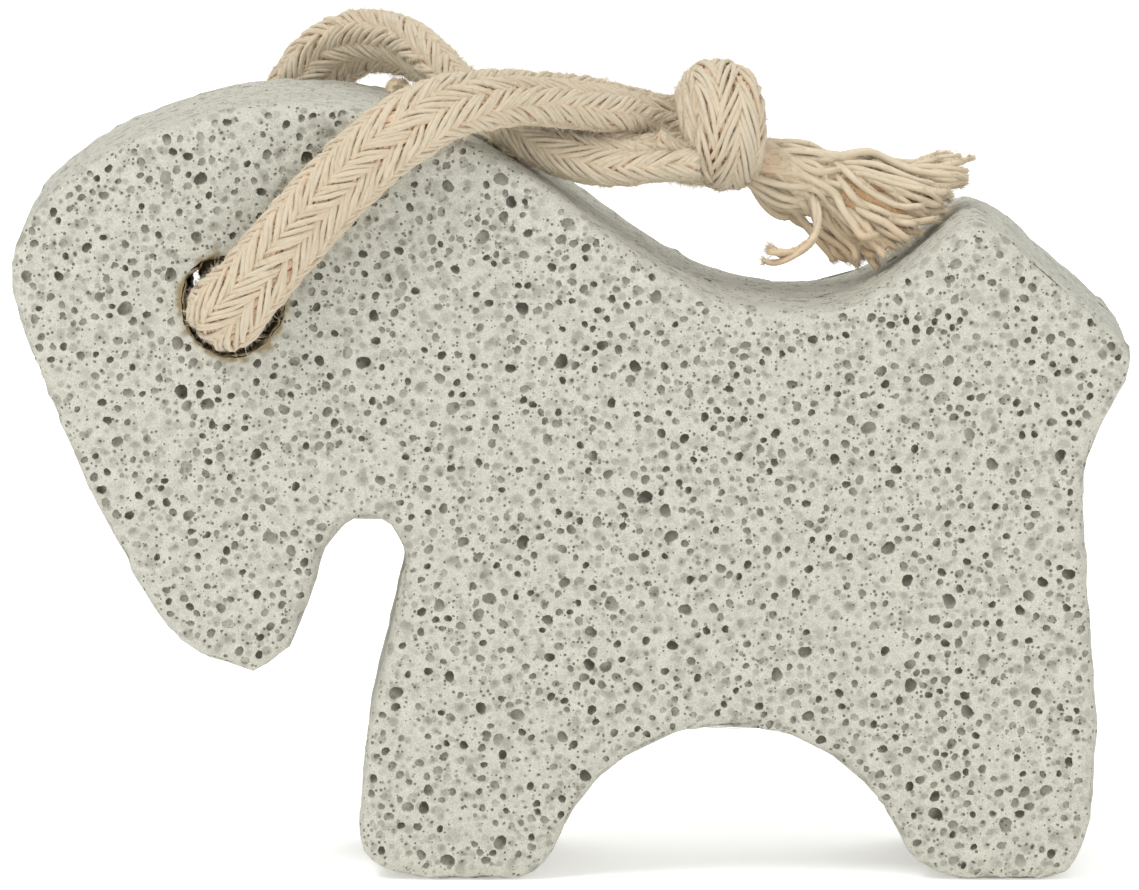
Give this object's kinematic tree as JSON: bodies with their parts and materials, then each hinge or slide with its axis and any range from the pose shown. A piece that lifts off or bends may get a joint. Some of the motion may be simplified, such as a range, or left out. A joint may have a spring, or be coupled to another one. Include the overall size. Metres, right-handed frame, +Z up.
{
  "type": "pumice foot stone on a cord",
  "caption": "Pumice foot stone sawn in the outline of a standing elephant, with a drilled hole in the head and a knotted, tasselled loop of cream cotton braid to hang it by.",
  "frame": {"origin": "centre of the stone's length and thickness, on the plane that both soles stand on", "axes": "+X from trunk to tail, -Y out of the front face, +Z up"},
  "size_m": [0.1, 0.0343, 0.0765],
  "materials": {
    "pumice": "dry porous pumice, pale greenish grey with open pores on the sawn faces",
    "cotton_braid": "soft cream cotton, herringbone tubular braid",
    "cotton_yarn": "soft cream cotton, loose frayed yarn"
  },
  "bodies": {
    "root": {"stone": "pumice", "cord_loop": "cotton_braid", "knot": "cotton_braid", "tassel": "cotton_yarn"}
  },
  "joints": []
}
